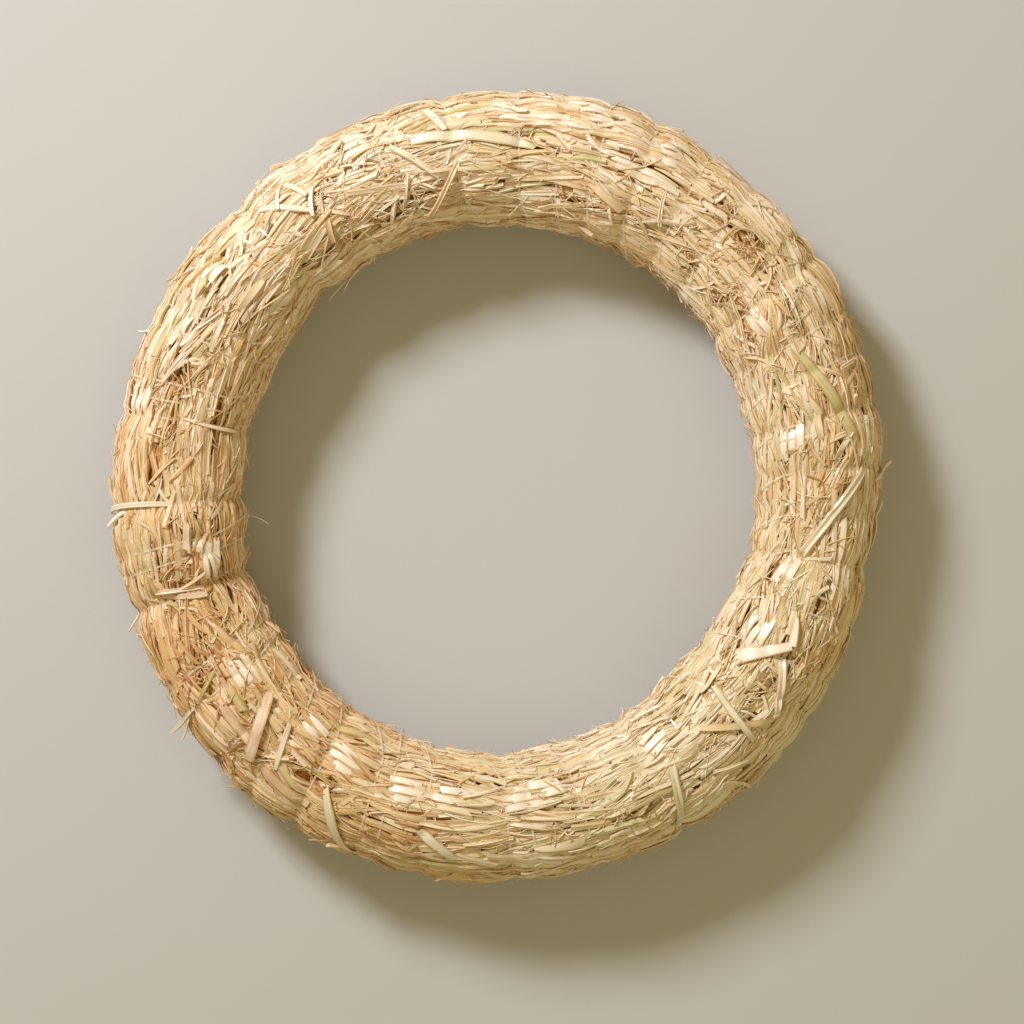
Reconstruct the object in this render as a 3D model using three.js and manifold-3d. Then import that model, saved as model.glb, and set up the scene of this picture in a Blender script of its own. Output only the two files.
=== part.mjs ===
// A straw wreath frame: handfuls of straw laid end to end round a ring, each lapped into the next and
// bound by one thread that winds round the straw. Millimetres, +Z up. The origin is the centre of the
// ring, on the plane that its back rests on.
import * as THREE from "three";
import { mergeVertices } from "three/addons/utils/BufferGeometryUtils.js";
import Module from "manifold-3d";

const wasm = await Module();
wasm.setup();

// Driving dimensions
const outerDiameter = 300; // over the outside of the ring
const tubeDiameter = 50; // across the straw, over its crests
const turnsPerHandful = 3; // turns of thread round each handful of straw
const waistDepth = 2; // how far a turn of thread pulls the straw in
const buttRounding = 0.8; // how far a handful's two ends are drawn in
const lapLength = 18; // the tapered tail of a handful that lies in the next one
const lapRootRadius = 16; // the tail's radius where it leaves its handful
const lapTipRadius = 9; // the tail's radius at its tip
const threadDiameter = 0.45;
const threadAboveRest = 0.25; // the lowest thread is this far above the resting plane
const knotTurn = 24; // the knot, where the thread starts and ends, is on the crest after this turn
const crossoverShare = 0.25; // the share of each turn in which the thread steps on to the next waist
const crossoverSlack = 0.4; // the thread's extra height over the crest that it steps across
const knotSize = 0.85; // radius of the knot's ring
const knotWindings = [2, 3]; // how often the knot winds round its ring and through it
const knotSteps = 36;
const tailLength = 8.5; // the thread's free end beyond the knot
const tailRuns = 3; // the straight runs in the free end
const tailRise = 0.4; // how far the free end's tip bends down the straw
const gap = 0.3; // clearance between neighbouring pieces
const sides = 16; // faces round the straw, and steps in each turn of thread
const threadSides = 4; // faces round the thread
const knotSides = 5; // faces round the thread in the knot

// Where each turn of thread crosses the straw, in degrees round the ring from +X. The winding is uneven.
const turnDegrees = [
  3, 12, 20, 26, 35, 39, 48.5, 56.5, 65, 72.5, 79, 86,
  97, 106, 109, 118, 122, 132, 135, 150, 153.5, 162, 165, 168,
  183, 190, 193, 198.5, 211, 216, 224, 230, 238, 248, 251, 258,
  272, 276, 285, 290, 298, 307.5, 317, 323, 329, 338, 347, 355,
];

// Stalks and leaves that lie over the handfuls and are held down by the thread. round is the place round
// the ring and over the place over the straw, from the outer side, in degrees. lay is the angle between
// the piece and the ring's direction there.
const stalkThickness = 0.7;
const leafThickness = 0.4;
const overlayRun = 2.5; // the length of each straight run in an overlay
const overlayRingRadius = 125; // their lengths are given for a ring of this radius, and grow with it
const bridgingAllowance = 1.5; // the thread's share of extra height over an overlay's straight runs
const overlays = [
  { name: "leaf_blade_1", kind: "leaf", round: 15.5, over: 76, lay: 20, length: 44, width: 5 },
  { name: "leaf_blade_2", kind: "leaf", round: 245, over: 47, lay: 127, length: 34, width: 4.6 },
  { name: "leaf_blade_3", kind: "leaf", round: 94.2, over: 73, lay: 168, length: 35, width: 4.8 },
  { name: "leaf_blade_4", kind: "leaf", round: 222, over: 74, lay: 176, length: 26, width: 5 },
  { name: "folded_leaf_1", kind: "leaf", round: 328.5, over: 101, lay: 131, length: 22, width: 4.4 },
  { name: "cross_stalk_1", kind: "stalk", round: 300.2, over: 58, lay: 72, length: 34, width: 3.6 },
  { name: "cross_stalk_2", kind: "stalk", round: 316.5, over: 92, lay: 80, length: 26, width: 3 },
  { name: "cross_stalk_3", kind: "stalk", round: 325, over: 73, lay: 30, length: 18, width: 3.8 },
  { name: "cross_stalk_4", kind: "stalk", round: 100.1, over: 121, lay: 52, length: 25, width: 2.4 },
  { name: "cross_stalk_5", kind: "stalk", round: 104, over: 87, lay: 133, length: 22, width: 3 },
  { name: "cross_stalk_6", kind: "stalk", round: 356.5, over: 76, lay: 148, length: 42, width: 4 },
  { name: "cross_stalk_7", kind: "stalk", round: 198, over: 84, lay: 80, length: 20, width: 2.6 },
  { name: "edge_stalk_1", kind: "stalk", round: 35, over: 12, lay: 178, length: 30, width: 3 },
];

// Sizes that follow from them
const crestRadius = tubeDiameter / 2;
const ringRadius = (outerDiameter - tubeDiameter) / 2;
const waistRadius = crestRadius - waistDepth;
const centreHeight = waistRadius + gap + threadDiameter + threadAboveRest;
const turnCount = turnDegrees.length;
const evenPitch = (2 * Math.PI * ringRadius) / turnCount;
const threadRadius = threadDiameter / 2;
const bridging = (waistDepth * overlayRun) / evenPitch; // how high a straight run stands across a waist

// The place round the ring of any turn of thread, counted on past the last one or back before the first.
function turnAngle(turn) {
  const lap = Math.floor(turn / turnCount);
  return THREE.MathUtils.degToRad(turnDegrees[turn - lap * turnCount]) + lap * 2 * Math.PI;
}

// The place of a share of the way from one turn to the next: the straw's crest is at half way.
function angleAfterTurn(turn, share) {
  return THREE.MathUtils.lerp(turnAngle(turn), turnAngle(turn + 1), share);
}

// The straw's radius there: in at each turn of thread, and out between them, less so where they are close.
function radiusAfterTurn(turn, share) {
  const pitch = (turnAngle(turn + 1) - turnAngle(turn)) * ringRadius;
  const crest = waistDepth * Math.min(1, pitch / evenPitch);
  return waistRadius + crest * 4 * share * (1 - share);
}

// The straw's radius at any angle round the ring.
function strawRadiusAt(angle) {
  let turn = Math.floor((angle / (2 * Math.PI)) * turnCount);
  while (turnAngle(turn) > angle) {
    turn--;
  }
  while (turnAngle(turn + 1) <= angle) {
    turn++;
  }
  return radiusAfterTurn(turn, (angle - turnAngle(turn)) / (turnAngle(turn + 1) - turnAngle(turn)));
}

// A point on the ring: an angle round it, one over the straw from the outer side, and a radius in the straw.
function onRing(round, over, radius) {
  const reach = ringRadius + radius * Math.cos(over);
  return new THREE.Vector3(
    reach * Math.cos(round),
    reach * Math.sin(round),
    centreHeight + radius * Math.sin(over),
  );
}

function mapVertices(geometry, place) {
  const position = geometry.attributes.position;
  for (let i = 0; i < position.count; i++) {
    const point = place(new THREE.Vector3().fromBufferAttribute(position, i));
    position.setXYZ(i, point.x, point.y, point.z);
  }
  geometry.computeVertexNormals();
  return geometry;
}

function toSolid(geometry) {
  const bare = geometry.clone();
  bare.deleteAttribute("normal");
  bare.deleteAttribute("uv");
  const merged = mergeVertices(bare, 1e-4);
  return new wasm.Manifold(
    new wasm.Mesh({
      numProp: 3,
      vertProperties: merged.attributes.position.array,
      triVerts: new Uint32Array(merged.index.array),
    }),
  );
}

function toGeometry(solid) {
  const mesh = solid.getMesh();
  const geometry = new THREE.BufferGeometry();
  geometry.setAttribute("position", new THREE.BufferAttribute(mesh.vertProperties, 3));
  geometry.setIndex(new THREE.BufferAttribute(mesh.triVerts, 1));
  geometry.computeVertexNormals();
  return geometry;
}

// What the back of the ring is pressed flat against.
function restingSlab() {
  const size = outerDiameter * 1.2;
  const geometry = new THREE.BoxGeometry(size, size, tubeDiameter);
  geometry.translate(0, 0, -tubeDiameter / 2);
  return toSolid(geometry);
}

// One handful, straight, about the Y axis: its tail, its bound body, and the hollow that takes the tail of
// the handful before it. It runs from the crest before its first turn of thread to the crest after its last.
function straightHandful(firstTurn) {
  const start = angleAfterTurn(firstTurn - 1, 0.5);
  const length = (angleAfterTurn(firstTurn + turnsPerHandful - 1, 0.5) - start) * ringRadius;
  const butt = radiusAfterTurn(firstTurn - 1, 0.5) - buttRounding;
  const farButt = radiusAfterTurn(firstTurn + turnsPerHandful - 1, 0.5) - buttRounding;
  const profile = [
    new THREE.Vector2(0, lapLength + gap / 2),
    new THREE.Vector2(lapTipRadius + gap, lapLength + gap / 2),
    new THREE.Vector2(lapRootRadius + gap, gap / 2),
    new THREE.Vector2(butt, gap / 2),
  ];
  for (let quarter = 3; quarter < 4 * turnsPerHandful + 2; quarter++) {
    const turn = firstTurn - 1 + Math.floor(quarter / 4);
    const share = (quarter % 4) / 4;
    const along = (angleAfterTurn(turn, share) - start) * ringRadius;
    profile.push(new THREE.Vector2(radiusAfterTurn(turn, share), along));
  }
  profile.push(
    new THREE.Vector2(farButt, length - gap / 2),
    new THREE.Vector2(lapRootRadius, length - gap / 2),
    new THREE.Vector2(lapTipRadius, length - gap / 2 + lapLength),
    new THREE.Vector2(0, length - gap / 2 + lapLength),
  );
  return new THREE.LatheGeometry(profile, sides);
}

function handfulGeometry(firstTurn) {
  const start = angleAfterTurn(firstTurn - 1, 0.5);
  const bent = mapVertices(straightHandful(firstTurn), (p) => {
    const round = start + p.y / ringRadius;
    const reach = ringRadius + p.x;
    return new THREE.Vector3(reach * Math.cos(round), reach * Math.sin(round), centreHeight + p.z);
  });
  return toGeometry(toSolid(bent).subtract(restingSlab()));
}

// An overlay's own length and width as distances round the ring and over the straw.
function overlayFrame(piece) {
  const lay = THREE.MathUtils.degToRad(piece.lay);
  return {
    over: THREE.MathUtils.degToRad(piece.over),
    alongRing: new THREE.Vector2(Math.cos(lay), -Math.sin(lay)),
    overStraw: new THREE.Vector2(Math.sin(lay), Math.cos(lay)),
    thickness: piece.kind === "leaf" ? leafThickness : stalkThickness,
    length: (piece.length * ringRadius) / overlayRingRadius,
  };
}

// An overlay is a strip that follows the straw below it at the clearance, with its centre at angle 0.
function overlayGeometry(piece) {
  const frame = overlayFrame(piece);
  const round = THREE.MathUtils.degToRad(piece.round);
  const steps = Math.ceil(frame.length / overlayRun);
  const stepsAcross = Math.round(piece.width / overlayRun);
  const strip = new THREE.BoxGeometry(frame.length, piece.width, frame.thickness, steps, stepsAcross, 1);
  return mapVertices(strip, (p) => {
    const flat = new THREE.Vector2(p.x, p.y);
    const over = frame.over + frame.overStraw.dot(flat) / crestRadius;
    const angle = frame.alongRing.dot(flat) / (ringRadius + crestRadius * Math.cos(over));
    const lift = gap + frame.thickness / 2 + p.z;
    return onRing(angle, over, strawRadiusAt(round + angle) + lift);
  });
}

// The height that the thread needs above the straw at a place: more where it crosses an overlay.
function liftAt(round, over) {
  let lift = 0;
  for (const piece of overlays) {
    const frame = overlayFrame(piece);
    const turn = round - THREE.MathUtils.degToRad(piece.round);
    const angle = turn - 2 * Math.PI * Math.round(turn / (2 * Math.PI));
    const swing = over - frame.over;
    const away = swing - 2 * Math.PI * Math.round(swing / (2 * Math.PI));
    const u = angle * (ringRadius + crestRadius * Math.cos(over));
    const v = away * crestRadius;
    const lengthwise = u * frame.alongRing.x + v * frame.overStraw.x;
    const sideways = u * frame.alongRing.y + v * frame.overStraw.y;
    const room = threadDiameter + gap;
    if (Math.abs(lengthwise) < frame.length / 2 + room && Math.abs(sideways) < piece.width / 2 + room) {
      lift = Math.max(lift, gap + frame.thickness + bridgingAllowance * bridging);
    }
  }
  return lift;
}

// Where the thread is after a number of turns, counted from the knot on the ring's inner side. It lies in
// each waist in turn, and steps over the crest between two of them on the inner side.
function threadAngles(turns) {
  const turn = Math.floor(turns);
  const within = turns - turn;
  const half = crossoverShare / 2;
  const before = Math.max(0, 1 - within / half) / 2;
  const after = Math.max(0, 1 - (1 - within) / half) / 2;
  const waist = knotTurn + turn + 1;
  const round = before ? angleAfterTurn(waist - 1, 1 - before) : angleAfterTurn(waist, after);
  return { round, over: Math.PI * (1 - 2 * within), stepped: 2 * (before + after) };
}

function threadPoint(turns) {
  const { round, over, stepped } = threadAngles(turns);
  let lift = 0;
  for (let i = -sides; i <= sides; i++) {
    const near = threadAngles(turns + i / sides ** 2);
    lift = Math.max(lift, liftAt(near.round, near.over));
  }
  const plain = strawRadiusAt(round) + gap + threadRadius + crossoverSlack * stepped;
  return onRing(round, over, lift ? (plain + lift) / Math.cos(Math.PI / sides) : plain);
}

// A curve of straight runs, with its corners at even parameters.
class Strand extends THREE.Curve {
  constructor(corners) {
    super();
    this.corners = corners;
  }

  getPoint(t) {
    const at = THREE.MathUtils.clamp(t, 0, 1) * (this.corners.length - 1);
    const i = Math.min(Math.floor(at), this.corners.length - 2);
    return this.corners[i].clone().lerp(this.corners[i + 1], at - i);
  }

  getUtoTmapping(u) {
    return u;
  }
}

function strandGeometry(corners) {
  const outline = [];
  for (let i = 0; i < threadSides; i++) {
    const angle = (i * 2 * Math.PI) / threadSides;
    outline.push(new THREE.Vector2(threadRadius * Math.cos(angle), threadRadius * Math.sin(angle)));
  }
  return new THREE.ExtrudeGeometry(new THREE.Shape(outline), {
    steps: corners.length - 1,
    extrudePath: new Strand(corners),
    bevelEnabled: false,
  });
}

const knotReach = 1.5 * knotSize + threadRadius; // how far the knot reaches out from its own centre
const knotHeight = 0.5 * knotSize + threadRadius; // half the knot's height over the straw
const knotTurns = (knotReach + gap) / (2 * Math.PI * crestRadius); // the share of a turn that the knot takes

function threadGeometry() {
  const corners = [];
  for (let i = 0; i <= turnCount * sides; i++) {
    const turns = THREE.MathUtils.clamp(i / sides, knotTurns, turnCount - knotTurns);
    corners.push(threadPoint(turns));
  }
  return strandGeometry(corners);
}

const material = {
  straw: new THREE.MeshStandardMaterial({ color: 0xd8c096, roughness: 0.62, metalness: 0 }),
  leaf: new THREE.MeshStandardMaterial({ color: 0xc3bd8c, roughness: 0.55, metalness: 0 }),
  stalk: new THREE.MeshStandardMaterial({ color: 0xe4d3ae, roughness: 0.5, metalness: 0 }),
  thread: new THREE.MeshStandardMaterial({ color: 0xe9e4d6, roughness: 0.3, metalness: 0 }),
};

function namedMesh(name, geometry, finish) {
  const mesh = new THREE.Mesh(geometry, finish);
  mesh.name = name;
  return mesh;
}

function strawRing() {
  const ring = new THREE.Group();
  for (let turn = 0; turn < turnCount; turn += turnsPerHandful) {
    const name = "straw_handful_" + String(turn / turnsPerHandful + 1).padStart(2, "0");
    ring.add(namedMesh(name, handfulGeometry(turn), material.straw));
  }
  return ring;
}

function overlayPieces() {
  const group = new THREE.Group();
  for (const piece of overlays) {
    const strip = namedMesh(piece.name, overlayGeometry(piece), material[piece.kind]);
    strip.rotation.z = THREE.MathUtils.degToRad(piece.round);
    group.add(strip);
  }
  return group;
}

// The thread, the knot that ties its two ends on the ring's inner side, and the end left beyond the knot.
function binding() {
  const group = new THREE.Group();
  group.add(namedMesh("binding_thread", threadGeometry(), material.thread));

  const { round } = threadAngles(0);
  const surface = strawRadiusAt(round) + gap;
  const tied = new THREE.TorusKnotGeometry(knotSize, threadRadius, knotSteps, knotSides, ...knotWindings);
  const knot = namedMesh("thread_knot", tied, material.thread);
  knot.position.copy(onRing(round, Math.PI, surface + knotHeight));
  knot.rotation.set(0, Math.PI / 2, round, "ZYX");
  group.add(knot);

  const tail = [];
  for (let run = 0; run <= tailRuns; run++) {
    const share = run / tailRuns;
    const out = surface + 2 * knotHeight + gap + share * tailLength;
    tail.push(onRing(round, Math.PI + (share ** 2 * tailRise) / crestRadius, out));
  }
  group.add(namedMesh("thread_end", strandGeometry(tail), material.thread));
  return group;
}

const wreathFrame = new THREE.Group();
wreathFrame.add(strawRing(), overlayPieces(), binding());
export default wreathFrame;
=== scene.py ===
import math
import bpy
import numpy as np
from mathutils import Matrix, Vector


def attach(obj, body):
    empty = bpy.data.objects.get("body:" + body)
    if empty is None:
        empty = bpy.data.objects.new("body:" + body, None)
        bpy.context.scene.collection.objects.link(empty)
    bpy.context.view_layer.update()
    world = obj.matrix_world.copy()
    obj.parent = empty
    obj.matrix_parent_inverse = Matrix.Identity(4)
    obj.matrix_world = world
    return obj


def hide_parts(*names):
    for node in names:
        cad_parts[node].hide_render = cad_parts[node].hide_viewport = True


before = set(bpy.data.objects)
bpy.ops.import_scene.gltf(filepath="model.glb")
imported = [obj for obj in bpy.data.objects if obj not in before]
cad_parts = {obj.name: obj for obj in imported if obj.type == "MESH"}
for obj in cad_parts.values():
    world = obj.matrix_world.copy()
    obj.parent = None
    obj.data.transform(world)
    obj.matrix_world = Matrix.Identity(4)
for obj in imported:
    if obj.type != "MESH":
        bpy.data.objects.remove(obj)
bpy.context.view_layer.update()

mm = 0.001

# The ring's own sizes. Angles are in degrees round the ring from +X.
ring = {
    "middleRadius": 125.6 * mm,
    "stretch": 2.2 * mm, "stretchTowards": 72,  # the ring is a little longer one way than the other
    "shift": 0.9 * mm, "shiftTowards": 10,
    "strawRadius": 24.3 * mm,
    "waistDepth": 0.5 * mm,
    "pinchDepth": 0.8 * mm, "pinchReach": 1.3 * mm,  # the sharp dent right under the thread
    "lumpHeight": 0.32 * mm,
    "evenPitch": math.radians(7.5),
    "slant": math.radians(0.8),  # how far a turn of thread leans from the outer side to the inner side
    "turnDegrees": [
        3, 12, 20, 26, 35, 39, 48.5, 56.5, 65, 72.5, 79, 86,
        97, 106, 109, 118, 122, 132, 135, 150, 153.5, 162, 165, 168,
        183, 190, 193, 198.5, 211, 216, 224, 230, 238, 248, 251, 258,
        272, 276, 285, 290, 298, 307.5, 317, 323, 329, 338, 347, 355,
    ],
    "turnsPerHandful": 3,
    # The turns that are pulled tighter than the rest: the angle, and by how many mm.
    "tightTurns": [
        (198.5, 1.7), (183, 1.1), (132, 1.1), (168, 0.9), (347, 0.8), (65, 0.7), (97, 0.7), (298, 0.8),
        (35, 0.8), (272, 0.6), (238, 0.7), (12, 0.6), (323, 0.6),
    ],
    "tightReach": 3.4 * mm,
    # Where the straw is fuller or thinner: the angle, how many degrees that reaches, and by how many mm.
    "bulges": [
        (352, 12, -2.0), (200, 7, -1.5), (133, 6, -1.1), (70, 12, 1.4), (318, 10, 1.1), (32, 6, 0.9),
        (187, 7, 0.8),
    ],
    # Slow swellings: how many there are round the ring and over the straw, where they start, and how strong.
    "lumps": [(5, 2, 0, 1), (11, -3, 1, 1), (23, 4, 2, 0.7)],
}
fullTurn = 2 * math.pi
turnAngles = np.radians(ring["turnDegrees"])
wrappedTurns = np.concatenate([turnAngles - fullTurn, turnAngles, turnAngles + fullTurn])


def angleAfterTurn(turn, share):
    lap, index = divmod(turn, len(turnAngles))
    start = turnAngles[index] + lap * fullTurn
    lap, index = divmod(turn + 1, len(turnAngles))
    return start + (turnAngles[index] + lap * fullTurn - start) * share


def middleRadius(angle):
    stretch = ring["stretch"] * np.cos(2 * (angle - math.radians(ring["stretchTowards"])))
    shift = ring["shift"] * np.cos(angle - math.radians(ring["shiftTowards"]))
    return ring["middleRadius"] + stretch + shift


# 1 at a place round the ring, and less and less away from it. at and reach are in degrees.
def nearness(angle, at, reach):
    away = np.mod(np.degrees(angle) - at + 180, 360) - 180
    return np.exp(-((away / reach) ** 2))


def plainRadius(angle):
    radius = ring["strawRadius"] + 0 * angle
    for at, reach, height in ring["bulges"]:
        radius = radius + height * mm * nearness(angle, at, reach)
    return radius


# How far the surface is from the middle of the straw: less at each turn of thread, more between them.
def strawRadius(angle, over):
    straight = np.mod(angle - ring["slant"] * np.cos(over), fullTurn)
    after = np.searchsorted(wrappedTurns, straight, side="right")
    before = wrappedTurns[after - 1]
    pitch = wrappedTurns[after] - before
    share = (straight - before) / pitch
    bulge = (4 * share * (1 - share)) ** 0.65 * np.minimum(1.25, pitch / ring["evenPitch"])
    toTurn = np.minimum(share, 1 - share) * pitch * ring["middleRadius"]
    pinch = ring["pinchDepth"] * np.exp(-((toTurn / ring["pinchReach"]) ** 2))
    reach = math.degrees(ring["tightReach"] / ring["middleRadius"])
    for at, depth in ring["tightTurns"]:
        pinch = pinch + depth * mm * nearness(straight, at, reach)
    lumps = sum(strength * np.sin(many * angle + across * over + start)
                for many, across, start, strength in ring["lumps"])
    return plainRadius(angle) + ring["waistDepth"] * (bulge - 1) - pinch + ring["lumpHeight"] * lumps


# How the ring is pressed on what it rests on. The straw lower than flat keeps only a share of its depth, and
# softness is how gently the last of it flattens, so that nothing goes through.
rest = {"gap": 0.2 * mm, "flat": 0.9 * mm, "give": 0.12, "softness": 0.8 * mm}


def placeAt(angle, over, radius):
    reach = middleRadius(angle) + radius * np.cos(over)
    z = plainRadius(angle) + rest["gap"] + radius * np.sin(over)
    z = np.where(z < rest["flat"], rest["flat"] + rest["give"] * (z - rest["flat"]), z)
    return np.stack([reach * np.cos(angle), reach * np.sin(angle), z], axis=-1)


# Points on the ring from angles round it and over the straw, counted from the outer side, and a height.
def onRing(angle, over, height):
    return placeAt(angle, over, strawRadius(angle, over) + height)


# A number between -1 and 1 that changes slowly over the straw, so that straws near each other are alike.
def patchAt(angle, over, kind):
    broad = math.sin(9 * angle + 2 * over + kind) + math.sin(17 * angle - 3 * over + 2.3 * kind)
    return (broad + math.sin(31 * angle + 5 * over + 4.1 * kind)) / 3


class Strands:
    # Gathers closed strands into one mesh, with a place in the texture map for each of them.

    def __init__(self, mapColumns=16):
        self.mapColumns = mapColumns
        self.points, self.faces, self.uvs, self.tints, self.grains = [], [], [], [], []
        self.count = 0

    # centre: points along the strand. section: points round it, (across, thick). widths, thicks and roll: how
    # the section is scaled and turned, along the strand. slash: how slanting its two ends are cut.
    def add(self, centre, outward, section, widths, thicks, roll, tint, slash=(0, 0)):
        rings, sides = len(centre), len(section)
        along = np.gradient(centre, axis=0)
        steps = np.linalg.norm(np.diff(centre, axis=0), axis=1)
        distance = np.concatenate([[0], np.cumsum(steps)])
        along /= np.linalg.norm(along, axis=1, keepdims=True)
        across = np.cross(along, outward)
        across /= np.linalg.norm(across, axis=1, keepdims=True)
        up = np.cross(across, along)
        c, s = np.cos(roll)[:, None], np.sin(roll)[:, None]
        across, up = across * c + up * s, up * c - across * s
        x = section[None, :, 0] * widths[:, None]
        y = section[None, :, 1] * thicks[:, None]
        points = centre[:, None] + across[:, None] * x[..., None] + up[:, None] * y[..., None]
        for end, lean in ((0, slash[0]), (-1, slash[1])):  # the ends are cut at a slant
            points[end] += along[end] * (x[end] * lean)[:, None]
        z = points[..., 2]
        soft = rest["softness"]
        points[..., 2] = np.where(z < soft, soft * np.exp(z / soft - 1), z)

        i, j = np.meshgrid(np.arange(rings - 1), np.arange(sides), indexing="ij")
        k = (j + 1) % sides
        here, there = i * sides, (i + 1) * sides
        wall = np.stack([here + j, there + j, there + k, here + k], -1).reshape(-1, 4)
        q = np.arange(sides // 2 - 1)
        cap = np.stack([q, q + 1, sides - 2 - q, sides - 1 - q], -1)
        self.points.append(points.reshape(-1, 3))
        self.faces.append(self.count + np.concatenate([wall, cap, cap[:, ::-1] + (rings - 1) * sides]))

        u = np.stack([i, i + 1, i + 1, i], -1) / (rings - 1) * 0.9
        v = np.stack([j, j, j + 1, j + 1], -1) / sides * 0.9
        flat = section / np.abs(section).max(axis=0) * 0.5 + 0.5
        nearCap = np.stack([0.92 + 0.06 * flat[cap][..., 0], 0.4 * flat[cap][..., 1]], -1)
        farCap = nearCap[:, ::-1] + (0, 0.5)
        self.uvs.append(np.concatenate([np.stack([u, v], -1).reshape(-1, 4, 2), nearCap, farCap]))
        grain = np.empty((rings, sides, 3))
        grain[..., 0] = distance[:, None]
        grain[..., 1] = x
        grain[..., 2] = tint[3]
        self.grains.append(grain.reshape(-1, 3))
        tints = np.empty((rings, sides, 4))
        tints[..., :3] = tint[:3]
        tints[..., 3] = np.abs(section[:, 0]) / np.abs(section[:, 0]).max()  # 1 at the edges, 0 in the middle: where the painted shade between straws is strongest
        self.tints.append(tints.reshape(-1, 4))
        self.count += rings * sides

    def toObject(self, name, material):
        rows = math.ceil(len(self.uvs) / self.mapColumns)
        cells = []
        for index, uv in enumerate(self.uvs):
            row, column = divmod(index, self.mapColumns)
            cells.append((uv + (column, row)) / (self.mapColumns, rows))
        mesh = bpy.data.meshes.new(name)
        mesh.from_pydata(np.concatenate(self.points), [], np.concatenate(self.faces))
        layer = mesh.uv_layers.new(name="OFBake")
        layer.data.foreach_set("uv", np.concatenate(cells).astype(np.float32).ravel())
        tint = mesh.attributes.new("tint", "FLOAT_COLOR", "POINT")
        tint.data.foreach_set("color", np.concatenate(self.tints).astype(np.float32).ravel())
        grain = mesh.attributes.new("grain", "FLOAT_VECTOR", "POINT")
        grain.data.foreach_set("vector", np.concatenate(self.grains).astype(np.float32).ravel())
        mesh.polygons.foreach_set("use_smooth", np.ones(len(mesh.polygons), bool))
        mesh.set_sharp_from_angle(angle=math.radians(24))
        mesh.materials.append(material)
        piece = bpy.data.objects.new(name, mesh)
        bpy.context.scene.collection.objects.link(piece)
        return piece


# Sections, as points round a strand, half a unit wide each way.
def crushedSection(rng, width, thickness):
    x = np.array([0.5, 0.36, 0.04, -0.3, -0.5, -0.36, 0.0, 0.36])
    y = np.array([0.0, 0.4, 0.34, 0.46, 0.0, -0.4, -0.4, -0.4])
    x = x + rng.uniform(-0.08, 0.08, 8)
    y = y + rng.uniform(-0.2, 0.14, 8)
    return np.stack([x * width, y * thickness], -1)


def ribbonSection(width, thickness, cup):
    x = np.array([0.5, 0.43, 0, -0.43, -0.5, -0.43, 0, 0.43])
    bow = cup * width * (0.25 - x ** 2)
    skin = np.array([0.15, 0.5, 0.5, 0.5, -0.15, -0.5, -0.5, -0.5])
    return np.stack([x * width, bow + skin * thickness], -1)


def groovedSection(width, thickness):
    x = np.array([0.5, 0.3, 0.0, -0.3, -0.5, -0.36, 0.0, 0.36])
    y = np.array([0.0, 0.5, 0.12, 0.46, 0.0, -0.4, -0.4, -0.4])
    return np.stack([x * width, y * thickness], -1)


def fibreSection(width):
    return np.array([[0.5, 0], [0, 0.5], [-0.5, 0], [0, -0.5]]) * width


# A strand's centre line over the straw. lay: the angle between it and the ring's direction. height: how far
# it is above the surface, for each step along it from -1 to 1. It is stiff, so it bridges the sharpest dents.
def layLine(angle, over, lay, length, height, bend=0.0, sway=0.0, phase=0.0, spacing=2.0 * mm):
    steps = max(5, int(length / spacing) + 1)
    u = np.linspace(-1, 1, steps)
    direction = lay + bend * u
    run = length / (steps - 1)
    alongRing = np.cumsum(np.cos(direction)) * run
    overStraw = np.cumsum(np.sin(direction)) * run + sway * np.sin(3 * u + phase)
    alongRing -= alongRing.mean()
    overStraw -= overStraw.mean()
    overs = over + overStraw / plainRadius(angle)
    angles = angle + alongRing / (middleRadius(angle) + plainRadius(angle) * np.cos(overs))
    radius = strawRadius(angles, overs) + height(u)
    radius[1:-1] = (radius[:-2] + 4 * radius[1:-1] + radius[2:]) / 6
    centre = placeAt(angles, overs, radius)
    outward = placeAt(angles, overs, radius + mm) - centre
    outward[:, 2] += 1e-6
    return u, centre, outward


# What lies in a handful, from the heart outwards. cover: how many times over these pieces cover the surface.
# together: how many lie side by side in one lock. lay: how far a lock turns off the ring's direction, in
# degrees. tilt: how far an end stands up or dips. Lengths are in mm.
strawKinds = {
    "under": {"cover": 1.7, "width": (1.6, 2.8), "length": (24, 44), "height": (-1.8, -1.0),
              "lay": 7, "together": 1, "tilt": 0.2},
    "laid": {"cover": 2.25, "width": (1.1, 2.9), "length": (14, 40), "height": (-0.8, 0.15),
             "lay": 10, "together": 5, "tilt": 0.3},
    "broad": {"cover": 0.75, "width": (2.4, 4.2), "length": (12, 30), "height": (-0.4, 0.3),
              "lay": 9, "together": 2, "tilt": 0.3},
    "split": {"cover": 0.4, "width": (0.5, 1.1), "length": (12, 34), "height": (-0.2, 0.5),
              "lay": 14, "together": 2, "tilt": 0.4},
    "sheath": {"cover": 0.1, "width": (2.6, 4.6), "length": (12, 26), "height": (-0.4, 0.1),
               "lay": 12, "together": 1, "tilt": 0.3},
    "crossed": {"cover": 0.15, "width": (0.8, 2.2), "length": (8, 22), "height": (-0.2, 0.6),
                "lay": 40, "together": 1, "tilt": 0.4},
    "sliver": {"cover": 0.05, "width": (0.3, 0.7), "length": (8, 24), "height": (0.2, 0.9),
               "lay": 55, "together": 1, "tilt": 0.6},
    "shred": {"cover": 0.11, "width": (0.35, 0.9), "length": (3, 9), "height": (-0.3, 0.5),
              "lay": 40, "together": 5, "tilt": 0.6},
    "loose": {"cover": 0.05, "width": (0.6, 1.8), "length": (7, 17), "height": (0.0, 0.7),
              "lay": 16, "together": 1, "tilt": 1.3},
}
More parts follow.
